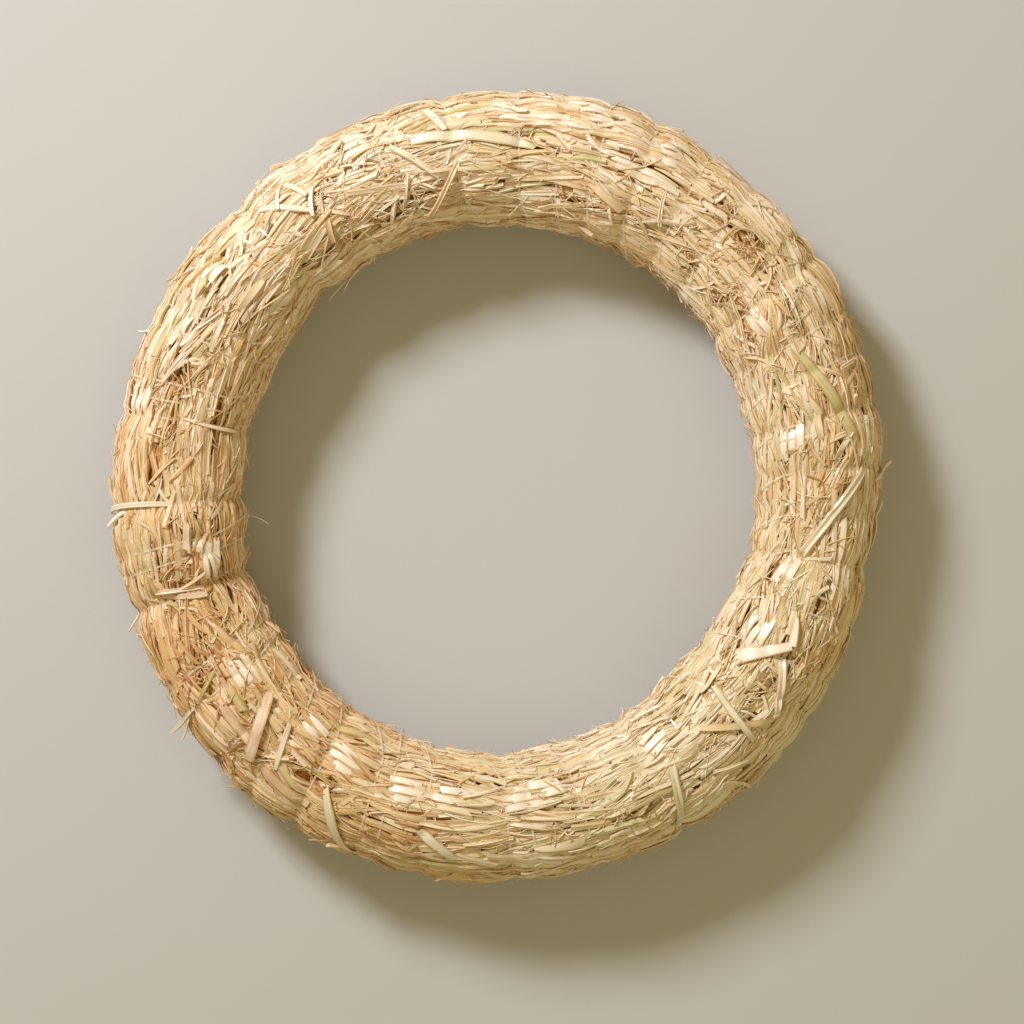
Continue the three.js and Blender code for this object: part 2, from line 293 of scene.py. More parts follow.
# Where the face is more jumbled: the angle round the ring, how far that reaches, and how strongly.
jumbles = [(35, 28, 1.0), (112, 18, 0.9), (216, 18, 1.0), (320, 16, 0.5), (352, 10, 0.8), (190, 10, 0.5)]
paintedShadeAndLight = [(214, 50, -0.24), (296, 34, 0.2), (125, 45, 0.1)]  # painted shade and light: where it is darker or paler as the light falls, in the same way
faceOver = 1.62  # the middle of the face, over the straw


def jumbleAt(angle):
    return 0.25 + 0.75 * max(strength * nearness(angle, at, reach) for at, reach, strength in jumbles)


def faceShare(over):
    return math.exp(-(((over - faceOver) / 0.75) ** 2))


# How a piece looks: its tone from dark to pale, how rusty it is, how green, and where its grain starts.
def pickTint(rng, kind, angle, over):
    # Painted sheen: the slow patches in tone are paler where flat straws catch the light, and darker between.
    tone = rng.normal(0.635, 0.155) + 0.19 * patchAt(angle, over, 1)
    # Painted shade and light: stretches of the ring are made darker or paler, as the light falls on them.
    for at, reach, change in paintedShadeAndLight:
        tone += change * nearness(angle, at, reach)
    rust = rng.uniform(0, 0.2) + 0.3 * max(0, patchAt(angle, over, 5)) * faceShare(over)
    rust += 0.32 * max(0, math.cos(angle - math.radians(212))) ** 2
    green = rng.uniform(0, 0.15) + 0.22 * max(0, math.cos(angle - math.radians(300))) ** 2
    if kind == "sheath":
        tone = rng.normal(0.56, 0.13)
        rust = rng.uniform(0.2, 0.8)
    # Painted shade: the straws that lie lowest are darker, as if in the shade of those over them.
    if kind == "under":
        tone -= 0.24
    if kind == "shred":
        rust = rng.uniform(0.3, 1.0)
    if rng.random() < 0.07:
        rust = rng.uniform(0.5, 0.95)
    if rng.random() < 0.1:
        green = rng.uniform(0.3, 0.9)
    return min(max(tone, 0.02), 0.98), min(max(rust, 0), 1), green, rng.uniform(0, 1)


swirl = math.radians(19)  # how far straws near each other turn together
wisps = {"each": 130, "onEdges": 0.65}  # how many in a handful, and the share along its two sides
evenSteps = (0.7549, 0.5698)  # steps that spread places evenly over an area


def addStraw(strands, rng, kind, angle, over, lay, base, width, tint):
    facts = strawKinds[kind]
    length = rng.uniform(*facts["length"]) * mm * (1 - 0.3 * faceShare(over))  # shorter on the face
    tilt = rng.normal(0, facts["tilt"]) * mm
    bow = rng.uniform(-1.0, 0.1) * mm
    # Across the straw a piece stays stiff, and stands off at its ends.
    bow += 0.15 * math.sin(lay) ** 2 * (length / 2) ** 2 / (2 * ring["strawRadius"])
    u, centre, outward = layLine(
        angle, over, lay, length, lambda u: base + tilt * u + bow * u ** 2,
        bend=rng.normal(0, 0.25 if kind in ("crossed", "sliver", "shred") else 0.05),
        sway=rng.normal(0, 0.06) * mm, phase=rng.uniform(0, 6),
        spacing=(3.6 if kind == "under" else 2.0) * mm,
    )
    widths = 1 + 0.08 * np.sin(u * rng.uniform(1, 5) + rng.uniform(0, 6))
    if kind in ("sheath", "split", "sliver", "shred") or rng.random() < 0.25:  # torn to a point at one end
        torn = u if rng.random() < 0.5 else -u
        widths *= np.clip(1.15 - 0.9 * np.clip(torn, 0, 1) ** 2, 0.2, 1)
    thicks = 0.55 + 0.45 * widths
    if kind == "sheath":
        section = ribbonSection(width, 0.25 * mm, rng.uniform(0.0, 0.25))
    elif kind in ("sliver", "shred"):
        section = fibreSection(width)
    elif rng.random() < (0.6 if kind == "crossed" else 0.2):
        section = ribbonSection(width, 0.4 * mm, rng.uniform(0.1, 0.7))
    else:
        section = crushedSection(rng, width, min(width, rng.uniform(0.9, 1.7) * mm))
    roll = rng.normal(0, 0.3) + rng.normal(0, 0.6 if kind == "crossed" else 0.25) * u
    slash = rng.uniform(-0.9, 0.9, 2)
    strands.add(centre, outward, section, widths, thicks, roll, tint, slash)


# Straws that lie side by side, as they fell together.
def addLock(strands, rng, kind, angle, over):
    facts = strawKinds[kind]
    lay = math.radians(rng.normal(0, facts["lay"] * (0.6 + 0.8 * faceShare(over) * jumbleAt(angle))))
    lay += swirl * patchAt(angle, over, 9) * (0.4 + 0.6 * faceShare(over))
    base = rng.uniform(*facts["height"]) * mm
    aside = 0.0
    for _ in range(facts["together"]):
        width = rng.uniform(*facts["width"]) * mm
        slip = rng.uniform(-7, 7) * mm if facts["together"] > 1 else 0.0
        alongRing = slip * math.cos(lay) - aside * math.sin(lay)
        overStraw = slip * math.sin(lay) + aside * math.cos(lay)
        there = angle + alongRing / (ring["middleRadius"] + ring["strawRadius"] * math.cos(over))
        turned = lay + rng.normal(0, 0.5 if kind == "shred" else 0.05)
        addStraw(
            strands, rng, kind, there, over + overStraw / ring["strawRadius"], turned,
            base + rng.normal(0, 0.2) * mm, width, pickTint(rng, kind, angle, over),
        )
        aside += width * 0.95


# A fine fibre that stands off the straw and curls.
def addWisp(strands, rng, angle, over):
    length = rng.uniform(3, 12) * mm
    rise = rng.uniform(0.3, 3.0) * mm
    lay = rng.normal(0, 0.6) + (math.pi if rng.random() < 0.5 else 0)
    u, centre, outward = layLine(
        angle, over, lay, length, lambda u: 0.2 * mm + rise * ((u + 1) / 2) ** 2,
        bend=rng.normal(0, 0.4), sway=rng.normal(0, 0.35) * mm, phase=rng.uniform(0, 6), spacing=1.5 * mm,
    )
    widths = 1.0 - 0.35 * u
    section = fibreSection(rng.uniform(0.15, 0.5) * mm)
    tint = (rng.uniform(0.3, 0.9), rng.uniform(0, 1), rng.uniform(0, 0.2), rng.uniform(0, 1))
    strands.add(centre, outward, section, widths, widths, 0 * u, tint)


def makeHandful(index, material):
    rng = np.random.default_rng(700 + index)
    first = index * ring["turnsPerHandful"]
    start = angleAfterTurn(first - 1, 0.5)
    end = angleAfterTurn(first + ring["turnsPerHandful"] - 1, 0.5)
    area = (end - start) * ring["middleRadius"] * fullTurn * ring["strawRadius"]
    strands = Strands()
    for kind, facts in strawKinds.items():
        each = np.mean(facts["width"]) * np.mean(facts["length"]) * mm ** 2
        for k in range(int(facts["cover"] * area / each / facts["together"])):
            angle = start + (end - start) * ((k * evenSteps[0] + rng.uniform(0, 0.1)) % 1)
            over = fullTurn * ((k * evenSteps[1] + rng.uniform(0, 0.04)) % 1)
            if kind in ("crossed", "sliver"):  # most of these lie on the face, and fewer on the back
                if rng.random() > jumbleAt(angle) * 1.3:
                    continue
                over = rng.normal(faceOver, 0.55) if rng.random() < 0.85 else over
            if kind == "loose" and rng.random() < 0.7:  # most of their ends stand out along the two sides
                over = rng.normal(0, 0.35) if rng.random() < 0.6 else rng.normal(math.pi, 0.35)
            if kind == "shred":  # in drifts along the face
                over = rng.normal(faceOver, 0.5)
                if max(patchAt(angle, over, 5), jumbleAt(angle) - 0.6) < 0.1:
                    continue
            addLock(strands, rng, kind, angle, over)
    for _ in range(wisps["each"]):
        edge = rng.normal(0, 0.4) if rng.random() < 0.5 else rng.normal(math.pi, 0.4)
        over = edge if rng.random() < wisps["onEdges"] else rng.uniform(-0.6, math.pi + 0.6)
        addWisp(strands, rng, rng.uniform(start, end), over)
    name = "strawHandful{:02d}".format(index + 1)
    piece = strands.toObject(name, material)
    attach(piece, "root")
    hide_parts("straw_handful_{:02d}".format(index + 1))
    return len(piece.data.polygons)


# The leaves and stalks that lie over the rest, held by the thread. Each one's ends are tucked in. at: its
# angle round the ring, and over the straw. lay: the angle between it and the ring's direction. size: its length
# and width, in mm. tint: its tone, how rusty it is, and how green.
leaves = {
    "leaf_blade_1": {"at": (15.5, 76), "lay": 20, "size": (45, 4.4), "tint": (0.5, 0.15, 0.7)},
    "leaf_blade_2": {"at": (245, 47), "lay": 127, "size": (35, 4.4), "tint": (0.8, 0.05, 0.5)},
    "leaf_blade_3": {"at": (94, 76), "lay": 171, "size": (49, 4.4), "tint": (0.78, 0.0, 0.3)},
    "leaf_blade_4": {"at": (222, 74), "lay": 176, "size": (26, 4.2), "tint": (0.6, 0.9, 0.0)},
}
stalks = {
    "cross_stalk_1": {"at": (300.2, 58), "lay": 72, "size": (34, 3.6), "tint": (0.85, 0.0, 0.5)},
    "cross_stalk_2": {"at": (316.5, 92), "lay": 80, "size": (26, 2.9), "tint": (0.95, 0.0, 0.3)},
    "cross_stalk_3": {"at": (325, 73), "lay": 30, "size": (20, 3.6), "tint": (0.9, 0.1, 0.1)},
    "cross_stalk_4": {"at": (100.1, 121), "lay": 52, "size": (26, 2.3), "tint": (0.6, 0.3, 0.0)},
    "cross_stalk_5": {"at": (104, 87), "lay": 133, "size": (23, 2.8), "tint": (0.85, 0.0, 0.2)},
    "cross_stalk_6": {"at": (356.5, 76), "lay": 148, "size": (42, 3.8), "tint": (0.85, 0.0, 0.3)},
    "cross_stalk_7": {"at": (198, 84), "lay": 80, "size": (20, 2.2), "tint": (0.8, 0.2, 0.1)},
    "edge_stalk_1": {"at": (35, 12), "lay": 178, "size": (31, 2.8), "tint": (0.7, 0.2, 0.0)},
}


def spareName(node):
    words = node.split("_")
    return words[0] + "".join(word.capitalize() for word in words[1:])


def makeOverlay(node, facts, section, rng, material, taper, rise):
    strands = Strands(mapColumns=1)
    angle, over = np.radians(facts["at"])
    length, _ = facts["size"]
    u, centre, outward = layLine(
        angle, over, math.radians(facts["lay"]), length * mm, lambda u: rise - 1.3 * mm * u ** 4,
        bend=rng.normal(0, 0.05), spacing=1.2 * mm,
    )
    widths = np.clip(1.1 - taper * np.clip(u, 0, 1) ** 2 - 0.25 * np.clip(-u, 0, 1) ** 4, 0.1, 1)
    widths *= 1 + 0.04 * np.sin(9 * u + rng.uniform(0, 6))
    roll = rng.normal(0, 0.1) + rng.normal(0, 0.15) * u
    tint = (*facts["tint"], rng.uniform(0, 1))
    strands.add(centre, outward, section, widths, widths ** 0.3, roll, tint, rng.uniform(-0.8, 0.8, 2))
    piece = strands.toObject(spareName(node), material)
    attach(piece, "root")
    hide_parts(node)


def makeOverlays(leafSkin, stalkSkin):
    rng = np.random.default_rng(41)
    for node, facts in leaves.items():
        section = ribbonSection(facts["size"][1] * mm, 0.3 * mm, rng.uniform(0.0, 0.06))
        makeOverlay(node, facts, section, rng, leafSkin, 0.55, 1.3 * mm)
    for node, facts in stalks.items():
        section = groovedSection(facts["size"][1] * mm, 1.3 * mm)
        makeOverlay(node, facts, section, rng, stalkSkin, 0.1, 1.5 * mm)


# A leaf twisted over on itself: one arm along the straw, a sharp fold, and one arm across it.
foldedLeaf = {
    "at": (331.8, 84), "width": 3.6, "tint": (1.0, 0.0, 0.05, 0.1),
    "arms": [
        {"lay": 13, "length": 11, "height": 1.7, "turn": 0.25, "endWidth": 0.4},
        {"lay": 133, "length": 22, "height": 1.5, "turn": -0.15, "endWidth": 1.9},
    ],
}


def makeFoldedLeaf(material):
    foldAngle, foldOver = np.radians(foldedLeaf["at"])
    section = ribbonSection(foldedLeaf["width"] * mm, 0.3 * mm, 0.04)
    strands = Strands(mapColumns=1)
    for arm in foldedLeaf["arms"]:
        lay = math.radians(arm["lay"])
        half = arm["length"] * mm / 2
        angle = foldAngle + half * math.cos(lay) / ring["middleRadius"]
        over = foldOver + half * math.sin(lay) / ring["strawRadius"]
        u, centre, outward = layLine(
            angle, over, lay, 2 * half, lambda u: (arm["height"] - 2 * np.clip(u, 0, 1) ** 3) * mm,
            spacing=mm,
        )
        widths = 1 + (arm["endWidth"] - 1) * ((u + 1) / 2) ** 1.5
        strands.add(centre, outward, section, widths, 0 * u + 1, arm["turn"] * (1 - u), foldedLeaf["tint"])
    piece = strands.toObject("foldedLeaf1", material)
    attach(piece, "root")
    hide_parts("folded_leaf_1")


# Single pieces that catch the eye. lift: how far the end of each stands off the straw, in mm. bend: how far
# it turns from its middle to each end, in radians.
strays = [
    {"at": (183, 42), "lay": -88, "size": (43, 2.3), "lift": 2.5, "bend": 0.12, "tint": (0.9, 0.1, 0.1)},
    {"at": (184.4, 27), "lay": -70, "size": (17, 1.9), "lift": 1.5, "bend": 0.2, "tint": (0.9, 0.1, 0)},
    {"at": (187.5, 0), "lay": 8, "size": (17, 0.7), "lift": 3.5, "bend": 0.1, "tint": (0.7, 0.2, 0)},
    {"at": (180.2, 2), "lay": 172, "size": (11, 0.6), "lift": 3, "bend": 0.1, "tint": (0.7, 0.2, 0)},
    {"at": (195.3, 121), "lay": 4, "size": (9, 2.6), "lift": 0.2, "bend": 0, "tint": (1, 0, 0)},
    {"at": (195.5, 114), "lay": -4, "size": (8, 2.4), "lift": 0.2, "bend": 0, "tint": (1, 0, 0)},
    {"at": (167.8, 122), "lay": 88, "size": (24, 1.5), "lift": 0.3, "bend": 0.1, "tint": (0.7, 0.2, 0)},
    {"at": (2.5, 14), "lay": -62, "size": (15, 2.2), "lift": 4.5, "bend": 0, "tint": (0.8, 0.1, 0.2)},
    {"at": (354.5, 14), "lay": 3, "size": (18, 2.5), "lift": 0.8, "bend": 0, "tint": (0.75, 0.1, 0)},
    {"at": (315.5, 82), "lay": 140, "size": (29, 2.9), "lift": 0, "bend": 0, "tint": (0.5, 0.1, 0.1)},
    {"at": (309.5, 30), "lay": 105, "size": (22, 1.6), "lift": 0.5, "bend": 0.8, "tint": (0.6, 0, 0.3)},
    {"at": (198.3, 4), "lay": -28, "size": (17, 1.3), "lift": 5, "bend": 0.1, "tint": (0.6, 0.2, 0.1)},
    {"at": (216.6, 24), "lay": -84, "size": (20, 1.9), "lift": 7, "bend": 0, "tint": (0.7, 0.2, 0.1)},
    {"at": (217.6, 20), "lay": -70, "size": (15, 1.4), "lift": 4, "bend": 0.1, "tint": (0.8, 0.1, 0.1)},
    {"at": (124.5, 184), "lay": 3, "size": (25, 0.9), "lift": 5, "bend": 0.1, "tint": (0.8, 0.2, 0)},
    {"at": (122.5, 180), "lay": 6, "size": (18, 0.6), "lift": 3.5, "bend": 0.1, "tint": (0.8, 0.2, 0)},
    {"at": (230, -4), "lay": 160, "size": (12, 0.5), "lift": 4.5, "bend": 0.7, "tint": (0.6, 0.4, 0)},
    {"at": (241, -2), "lay": 165, "size": (14, 0.7), "lift": 4, "bend": 0.5, "tint": (0.6, 0.3, 0)},
    {"at": (262, 0), "lay": 12, "size": (17, 0.6), "lift": 3, "bend": 0.6, "tint": (0.6, 0.3, 0)},
    {"at": (299.3, 182), "lay": 70, "size": (8, 0.9), "lift": 2.5, "bend": 0.2, "tint": (0.6, 0.5, 0)},
    {"at": (146, 8), "lay": -35, "size": (12, 1.6), "lift": 2.5, "bend": 0, "tint": (0.8, 0.1, 0)},
    {"at": (156, 10), "lay": -80, "size": (9, 1.2), "lift": 2.5, "bend": 0, "tint": (0.8, 0.1, 0)},
    {"at": (99.4, 52), "lay": 118, "size": (14, 3.4), "lift": 0.6, "bend": 0, "tint": (1.0, 0, 0.1)},
    {"at": (87.8, 48), "lay": 158, "size": (14, 2.9), "lift": 0.4, "bend": 0, "tint": (1.0, 0, 0.1)},
    {"at": (19.4, 50), "lay": 100, "size": (10, 2.0), "lift": 0.5, "bend": 0, "tint": (0.65, 0.2, 0)},
    {"at": (122.8, 112), "lay": 70, "size": (9, 2.6), "lift": 0.3, "bend": 0.2, "tint": (0.5, 0.9, 0)},
    {"at": (50.5, 8), "lay": 10, "size": (30, 1.4), "lift": 1.2, "bend": 0, "tint": (0.7, 0.2, 0)},
    {"at": (225.4, 86), "lay": 118, "size": (27, 4.6), "lift": 0.3, "bend": 0, "tint": (0.7, 1, 0)},
    {"at": (234.5, 60), "lay": 176, "size": (24, 4.8), "lift": 0, "bend": 0, "tint": (0.5, 0.6, 0)},
    {"at": (260.8, 66), "lay": 148, "size": (18, 4.4), "lift": 0.3, "bend": 0, "tint": (0.95, 0, 0.1)},
    {"at": (199.2, 86), "lay": 74, "size": (18, 2.6), "lift": 0.3, "bend": 0.05, "tint": (0.75, 0.7, 0)},
    {"at": (197.4, 96), "lay": 104, "size": (13, 1.2), "lift": 0.8, "bend": 0.2, "tint": (0.7, 0.5, 0)},
    {"at": (127.3, 70), "lay": 137, "size": (22, 2.3), "lift": 0.2, "bend": 0, "tint": (0.9, 0.1, 0)},
    {"at": (122.6, 80), "lay": 56, "size": (12, 2.1), "lift": 0.3, "bend": 0.2, "tint": (0.95, 0, 0)},
    {"at": (126.5, 57), "lay": 48, "size": (13, 1.8), "lift": 0.9, "bend": 0.35, "tint": (0.95, 0, 0)},
    {"at": (124.0, 62), "lay": 118, "size": (12, 2.2), "lift": 0.8, "bend": -0.2, "tint": (0.9, 0, 0)},
    {"at": (128.5, 66), "lay": 12, "size": (17, 1.5), "lift": 0.4, "bend": 0.3, "tint": (0.85, 0.2, 0)},
    {"at": (230.6, 88), "lay": 112, "size": (18, 2.4), "lift": 0.6, "bend": 0, "tint": (0.9, 0.2, 0)},
]


# Broad pale straws, pressed flat and shiny between two turns of thread, tinted near white as painted sheen:
# the angle round the ring, the angle over the straw, and how many lie side by side.
paintedSheenSpots = [
    (253, 108, 3), (241, 112, 3), (193.5, 118, 3), (262, 112, 2), (216, 108, 3), (62.5, 52, 4), (88, 50, 3),
    (82, 60, 2), (301, 118, 3), (275, 112, 3), (281, 118, 2), (331, 118, 3), (344, 112, 2), (9, 118, 3),
    (32, 112, 2), (151.5, 58, 3), (166, 44, 3), (142, 62, 2), (112, 52, 3), (75, 44, 2), (233, 120, 2),
]


def addPaintedSheenSpots(strands, rng):
    for at, over, together in paintedSheenSpots:
        lay = rng.normal(0, 6)
        for index in range(together):
            width = rng.uniform(2.8, 4.2)
            beside = (index - (together - 1) / 2) * 3.4 * mm / ring["strawRadius"]
            place = at + rng.normal(0, 0.7)
            u, centre, outward = layLine(
                math.radians(place), math.radians(over) + beside, math.radians(lay + rng.normal(0, 3)),
                rng.uniform(7, 15) * mm, lambda u: 0.75 * mm - 0.8 * mm * u ** 2, spacing=1.6 * mm,
            )
            section = ribbonSection(width * mm, 0.45 * mm, rng.uniform(0, 0.1))
            widths = 1 - 0.1 * u ** 2
            # Painted sheen: these straws are tinted near white, where flat straws catch the light.
            tint = (rng.uniform(0.88, 1), rng.uniform(0, 0.06), rng.uniform(0, 0.15), rng.uniform(0, 0.03))
            slash = rng.uniform(-0.6, 0.6, 2)
            strands.add(centre, outward, section, widths, widths, rng.normal(0, 0.08) + 0 * u, tint, slash)


# A stray's height above the straw: its near end dips in, and its far end stands off.
def strayHeight(u, base, lift):
    return base - 0.8 * mm * np.clip(-u, 0, 1) ** 3 + lift * mm * np.clip(u, 0, 1) ** 2


def makeStrays(material):
    rng = np.random.default_rng(83)
    strands = Strands()
    for facts in strays:
        angle, over = np.radians(facts["at"])
        length, width = facts["size"]
        base = (min(width, 1.3) / 2 + (1.2 if width > 4 else 0.75)) * mm  # the widest lie over the others
        u, centre, outward = layLine(
            angle, over, math.radians(facts["lay"]), length * mm,
            lambda u: strayHeight(u, base, facts["lift"]), bend=facts["bend"], spacing=1.4 * mm,
        )
        widths = np.clip(1.05 - 0.35 * np.abs(u) ** 4, 0.3, 1)
        if width > 2.7:  # a leaf, and a straw if it is narrower
            section = ribbonSection(width * mm, 0.3 * mm, rng.uniform(0, 0.12))
        else:
            section = crushedSection(rng, width * mm, min(width * 0.6, 1.1) * mm)
        roll = rng.normal(0, 0.15) + rng.normal(0, 0.2) * u
        tint = (*facts["tint"], rng.uniform(0, 1))
        strands.add(centre, outward, section, widths, widths ** 0.5, roll, tint)
    addPaintedSheenSpots(strands, rng)
    piece = strands.toObject("strayStraws", material)
    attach(piece, "root")


# The packed straw below, seen only through gaps.
def makeHeart(material):
    rounds, overs = 360, 48
    i, j = np.meshgrid(np.arange(rounds), np.arange(overs), indexing="ij")
    points = onRing(i / rounds * fullTurn, j / overs * fullTurn, -2.3 * mm).reshape(-1, 3)
    nextI, nextJ = (i + 1) % rounds, (j + 1) % overs
    faces = np.stack([i * overs + j, nextI * overs + j, nextI * overs + nextJ, i * overs + nextJ], -1)
    mesh = bpy.data.meshes.new("strawHeart")
    mesh.from_pydata(points, [], faces.reshape(-1, 4))
    layer = mesh.uv_layers.new(name="OFBake")
    u = np.stack([i, i + 1, i + 1, i], -1) / rounds
    v = np.stack([j, j, j + 1, j + 1], -1) / overs
    layer.data.foreach_set("uv", np.stack([u, v], -1).astype(np.float32).ravel())
    mesh.polygons.foreach_set("use_smooth", np.ones(len(mesh.polygons), bool))
    mesh.materials.append(material)
    piece = bpy.data.objects.new("strawHeart", mesh)
    bpy.context.scene.collection.objects.link(piece)
    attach(piece, "root")


class Value:
    # A shader socket that can be used in sums.
    def __init__(self, shader, socket):
        self.shader, self.socket = shader, socket

    def math(self, operation, other, swap=False):
        pair = [other, self] if swap else [self, other]
        return self.shader.node("Math", {"operation": operation}, {0: pair[0], 1: pair[1]})

    def __add__(self, other):
        return self.math("ADD", other)

    def __radd__(self, other):
        return self.math("ADD", other, True)

    def __sub__(self, other):
        return self.math("SUBTRACT", other)

    def __rsub__(self, other):
        return self.math("SUBTRACT", other, True)

    def __mul__(self, other):
        return self.math("MULTIPLY", other)

    def __rmul__(self, other):
        return self.math("MULTIPLY", other, True)


class Shader:
    def __init__(self, name):
        self.material = bpy.data.materials.new(name)
        self.material.use_nodes = True
        self.tree = self.material.node_tree
        self.surface = self.tree.nodes["Principled BSDF"]

    def put(self, socket, value):
        if isinstance(value, Value):
            self.tree.links.new(value.socket, socket)
        else:
            socket.default_value = value

    def node(self, kind, settings=None, sockets=None, output=0):
        made = self.tree.nodes.new("ShaderNode" + kind)
        for name, value in (settings or {}).items():
            if name == "stops":
                ramp = made.color_ramp
                while len(ramp.elements) < len(value):
                    ramp.elements.new(0.5)
                for element, (position, color) in zip(ramp.elements, value):
                    element.position = position
                    element.color = (*color, 1)
            else:
                setattr(made, name, value)
        for name, value in (sockets or {}).items():
            self.put(made.inputs[name], value)
        return Value(self, made.outputs[output])

    def mix(self, factor, low, high, blend="MIX"):
        return self.node("Mix", {"data_type": "RGBA", "blend_type": blend}, {0: factor, 6: low, 7: high}, 2)

    def smoothStep(self, value, low, high):
        return self.node("MapRange", {"interpolation_type": "SMOOTHSTEP"}, {0: value, 1: low, 2: high})

    def finish(self, values):
        for name, value in values.items():
            self.put(self.surface.inputs[name], value)
        return self.material


def colour(red, green, blue):
    # A colour as it is seen, made linear.
    linear = [c / 12.92 if c <= 0.04045 else ((c + 0.055) / 1.055) ** 2.4 for c in (red, green, blue)]
    return tuple(linear)


strawLook = {
    "shade": colour(0.68, 0.43, 0.12),
    "tan": colour(0.882, 0.73, 0.5),
    "cream": colour(0.95, 0.868, 0.73),
    "ivory": colour(0.98, 0.94, 0.885),
    "rust": colour(0.81, 0.61, 0.51),
    "green": colour(0.77, 0.76, 0.51),
    "stain": colour(0.68, 0.44, 0.22),
    "edge": colour(0.79, 0.57, 0.22), "edgeDark": 0.54,  # painted shade between straws: a straw is darker and warmer towards its edges
    "roughness": 0.3, "roughnessSpread": 0.26,
    "ribs": 2400, "ribRun": 32,  # ribs along a straw: how close, and how long they run
    "bump": 0.5,
}


leafLook = {"ribs": 1250, "ribRun": 16, "bump": 0.8, "roughness": 0.34, "roughnessSpread": 0.1}
stalkLook = {"ribs": 2100, "ribRun": 16, "bump": 0.5, "roughness": 0.24, "roughnessSpread": 0.12}


def strawMaterial(name, look):
    shader = Shader(name)
    tint = shader.node("Attribute", {"attribute_name": "tint"})
    parts = tint.socket.node
    channels = shader.node("SeparateColor", {}, {0: tint}).socket.node
    tone, rust, green = (Value(shader, channels.outputs[i]) for i in range(3))
    grain = shader.node("Attribute", {"attribute_name": "grain"}, output=1)
    stretch = shader.node("VectorMath", {"operation": "MULTIPLY"},
                          {0: grain, 1: (look["ribRun"], look["ribs"], 37)})
    ribs = shader.node("TexNoise", {}, {"Vector": stretch, "Scale": 1.0, "Detail": 3.0, "Roughness": 0.6})
    broad = shader.node("VectorMath", {"operation": "MULTIPLY"}, {0: grain, 1: (110, 420, 91)})
    mottle = shader.node("TexNoise", {}, {"Vector": broad, "Scale": 1.0, "Detail": 3.0, "Roughness": 0.65})
    light = tone + (ribs - 0.5) * 0.95 + (mottle - 0.5) * 0.45
    base = shader.node("ValToRGB", {"stops": [
        (0.0, look["shade"]), (0.28, look["tan"]), (0.55, look["cream"]), (0.85, look["ivory"]),
    ]}, {0: light})
    base = shader.mix(rust * shader.smoothStep(mottle, 0.25, 0.7) * 0.85, base, (*look["rust"], 1))
    base = shader.mix(green * 0.8, base, (*look["green"], 1))
    stain = shader.smoothStep(mottle, 0.64, 0.8) * 0.45
    base = shader.mix(stain, base, (*look["stain"], 1), "MULTIPLY")
    # Painted shade: each straw is darkened and warmed towards its edges, as in the crevices between straws.
    edge = shader.smoothStep(Value(shader, parts.outputs["Alpha"]), 0.5, 1.0)
    base = shader.mix(edge * look["edgeDark"], base, (*look["edge"], 1), "MULTIPLY")
    places = shader.node("SeparateXYZ", {}, {0: grain}).socket.node
    gloss = shader.node("Math", {"operation": "FRACT"}, {0: Value(shader, places.outputs[2]) * 7.3})
    rough = look["roughness"] + gloss * look["roughnessSpread"] + (mottle - 0.5) * 0.2 + rust * 0.2
    height = ribs + mottle * 0.6
    normal = shader.node("Bump", {}, {"Strength": look["bump"], "Distance": 0.12 * mm, "Height": height})
    return shader.finish({"Base Color": base, "Roughness": rough, "Normal": normal})


# The packed straw below is coloured darker and warmer than the straw over it: painted shade, so the gaps look
# deep.
heartShadeLook = {"dark": colour(0.58, 0.38, 0.12), "light": colour(0.82, 0.62, 0.32)}


def heartMaterial(look):
    shader = Shader("packedStraw")
    place = shader.node("TexCoord", output=3)
    strands = shader.node("TexNoise", {}, {"Vector": place, "Scale": 420, "Detail": 4, "Roughness": 0.7})
    base = shader.mix(shader.smoothStep(strands, 0.35, 0.7), (*look["dark"], 1), (*look["light"], 1))
    normal = shader.node("Bump", {}, {"Strength": 0.8, "Distance": 0.5 * mm, "Height": strands})
    return shader.finish({"Base Color": base, "Roughness": 0.85, "Normal": normal})


def threadMaterial():
    shader = Shader("clearThread")
    place = shader.node("TexCoord", output=3)
    wear = shader.node("TexNoise", {}, {"Vector": place, "Scale": 300.0, "Detail": 2.0})
    base = shader.mix(wear, (*colour(0.97, 0.93, 0.84), 1), (*colour(1, 1, 0.98), 1))
    return shader.finish({
        "Base Color": base, "Roughness": 0.15 + wear * 0.12,
        "Alpha": 0.22 + wear * 0.3, "Specular IOR Level": 0.7,
    })


thread = {
    "width": 0.75 * mm, "height": 0.9 * mm, "stepsPerTurn": 64,
    "knotTurn": 24,  # the knot is after this turn
    "crossover": 0.14,  # the share of a turn in which it crosses to the next
    "knotWidth": 1.6 * mm, "tail": 8.5 * mm, "tailWidth": 0.4 * mm,
}


def makeThread(material):
    steps = thread["stepsPerTurn"]
    half = thread["crossover"]
    count = len(turnAngles)
    t = np.arange(count * steps + 1) / steps
    t = np.clip(t, 0.012, count - 0.012)
    turn = np.floor(t).astype(int)
    within = t - turn
    before = np.clip(1 - within / half, 0, 1) / 2
    after = np.clip(1 - (1 - within) / half, 0, 1) / 2
    over = math.pi * (1 - 2 * within)
    ahead = turn + thread["knotTurn"] + (before == 0)
    share = np.where(before > 0, 1 - before, after)
    angle = np.array([angleAfterTurn(int(k), part) for k, part in zip(ahead, share)])
    angle = angle + ring["slant"] * np.cos(over)
    centre = onRing(angle, over, thread["height"])
    outward = onRing(angle, over, thread["height"] + mm) - centre
    section = ribbonSection(thread["width"], 0.2 * mm, 0)
    addThread("bindingThread", "binding_thread", centre, outward, section, 0 * t + 1, material)


def addThread(name, node, centre, outward, section, widths, material):
    strands = Strands(mapColumns=1)
    strands.add(centre, outward, section, widths, widths, 0 * widths, (0.5, 0.5, 0.5, 0.5))
    piece = strands.toObject(name, material)
    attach(piece, "root")
    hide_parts(node)


